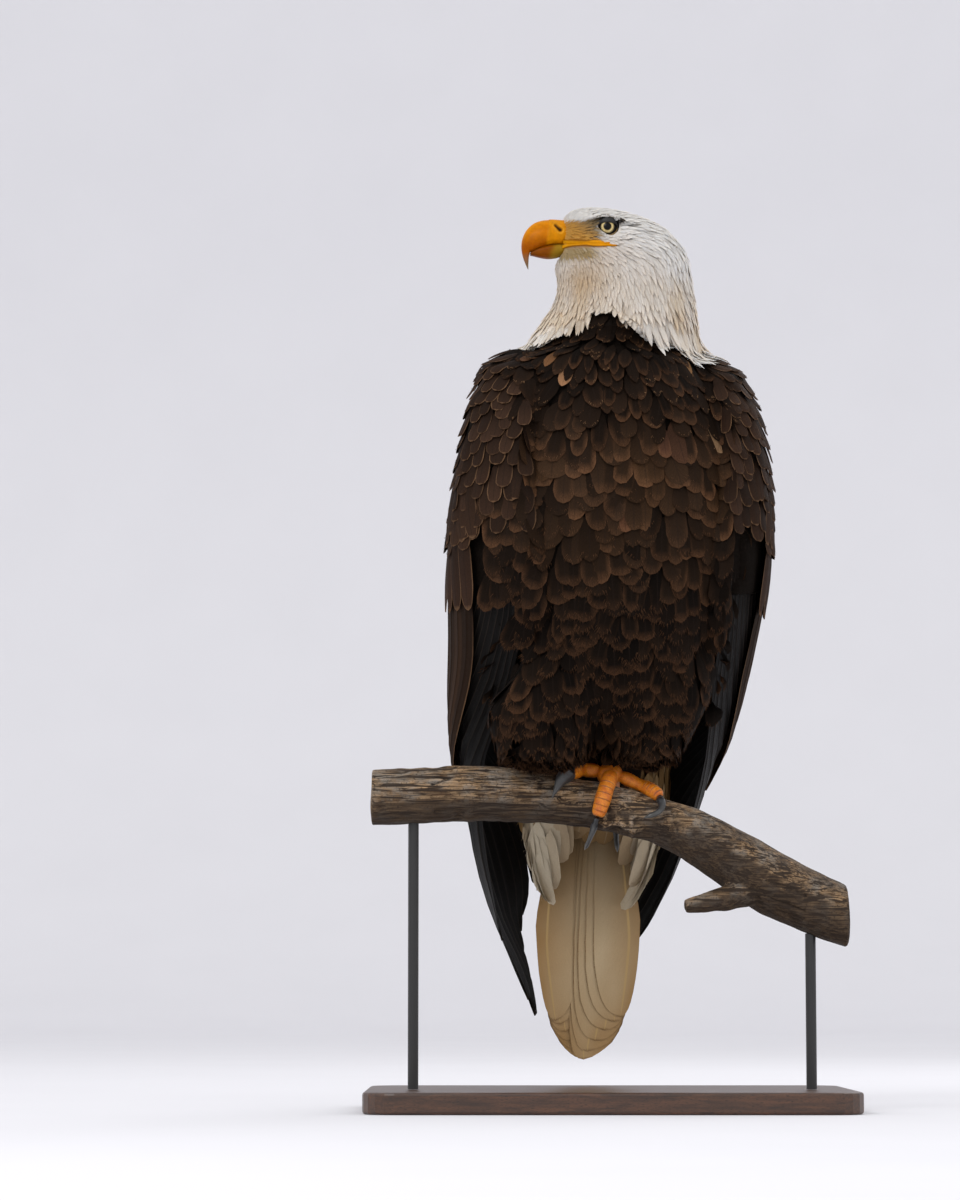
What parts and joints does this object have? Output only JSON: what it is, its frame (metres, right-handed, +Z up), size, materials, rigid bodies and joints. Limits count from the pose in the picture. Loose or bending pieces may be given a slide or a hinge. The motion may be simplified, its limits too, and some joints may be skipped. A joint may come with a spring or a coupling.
{
  "type": "bald eagle",
  "caption": "Life-size still model of an adult bald eagle perched on one foot on a cut length of bare branch, head turned to its right, on a plain display stand.",
  "frame": {"origin": "centre of the stand base's underside", "axes": "+Z up; -Y the way the breast faces, give or take eleven degrees; -X the way the bill points; the bird's left side is +X"},
  "size_m": [0.46, 0.3441, 0.8588],
  "materials": {
    "white_feathers": "white and cream feathers",
    "brown_feathers": "dark brown feathers with paler edges",
    "dark_feathers": "near-black flight feathers, slightly glossy",
    "bill_horn": "yellow-orange horn, satin",
    "eye": "pale yellow iris, black pupil, wet gloss",
    "foot_skin": "yellow-orange scaly skin",
    "claw_horn": "dark grey horn, satin",
    "perch_wood": "weathered bare branch, grey-brown",
    "stand_base": "dark stained wood, satin",
    "stand_rod": "black satin"
  },
  "bodies": {
    "root": {"bill_lower": "bill_horn", "bill_upper": "bill_horn", "claw_hind": "claw_horn", "claw_inner": "claw_horn", "claw_middle": "claw_horn", "claw_outer": "claw_horn", "eye_left": "eye", "eye_right": "eye", "foot_left": "foot_skin", "gape_left": "bill_horn", "gape_right": "bill_horn", "head": "white_feathers", "neck": "white_feathers", "perch": "perch_wood", "shank_left": "foot_skin", "stand_base": "stand_base", "stand_rod_left": "stand_rod", "stand_rod_right": "stand_rod", "tail": "white_feathers", "tail_coverts": "white_feathers", "thigh_left": "brown_feathers", "thigh_right": "brown_feathers", "toe_hind": "foot_skin", "toe_inner": "foot_skin", "toe_middle": "foot_skin", "toe_outer": "foot_skin", "trunk": "brown_feathers", "wing_left_coverts": "brown_feathers", "wing_left_primaries": "dark_feathers", "wing_left_secondaries": "brown_feathers", "wing_right_coverts": "brown_feathers", "wing_right_primaries": "dark_feathers", "wing_right_secondaries": "brown_feathers"}
  },
  "joints": []
}
